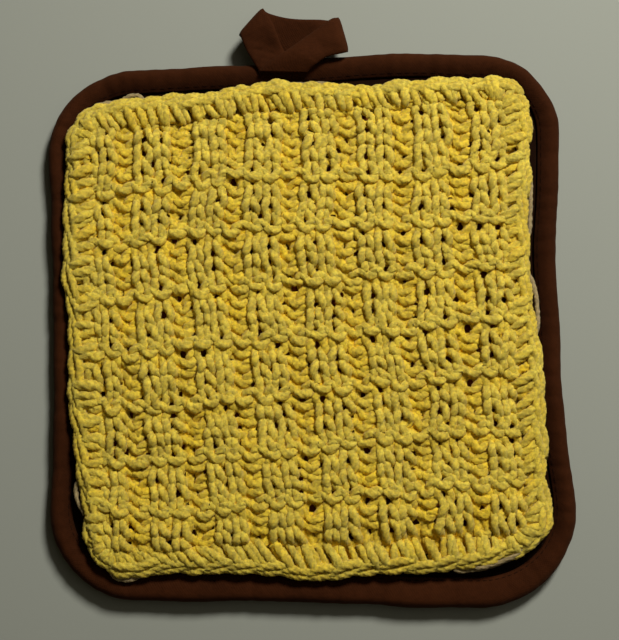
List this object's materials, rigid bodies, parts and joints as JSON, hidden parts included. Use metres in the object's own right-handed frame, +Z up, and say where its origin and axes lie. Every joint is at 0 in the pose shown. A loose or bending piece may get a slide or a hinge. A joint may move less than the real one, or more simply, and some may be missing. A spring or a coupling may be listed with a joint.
{
  "type": "knit potholder",
  "caption": "Padded brown cotton potholder with a rounded bias-bound edge, a folded hanging loop and a hand-knit yellow cotton square with crocheted edging on its face.",
  "frame": {"origin": "on the surface it lies on, below the middle of the outline that takes in the hanging loop", "axes": "+Z up out of the knit face, +Y towards the edge that carries the hanging loop, +X to the right seen from above"},
  "size_m": [0.181, 0.2122, 0.0126],
  "materials": {
    "pad_cloth": "matt plain-woven dark brown cotton, padded",
    "bias_tape": "matt brown cotton bias tape with a faint sheen on its crest",
    "cotton_yarn": "matt yellow plied cotton yarn, hand-knit"
  },
  "bodies": {
    "root": {"pad": "pad_cloth", "binding": "bias_tape", "hanging_loop": "bias_tape", "knit_panel": "cotton_yarn", "knit_edging": "cotton_yarn"}
  },
  "joints": []
}
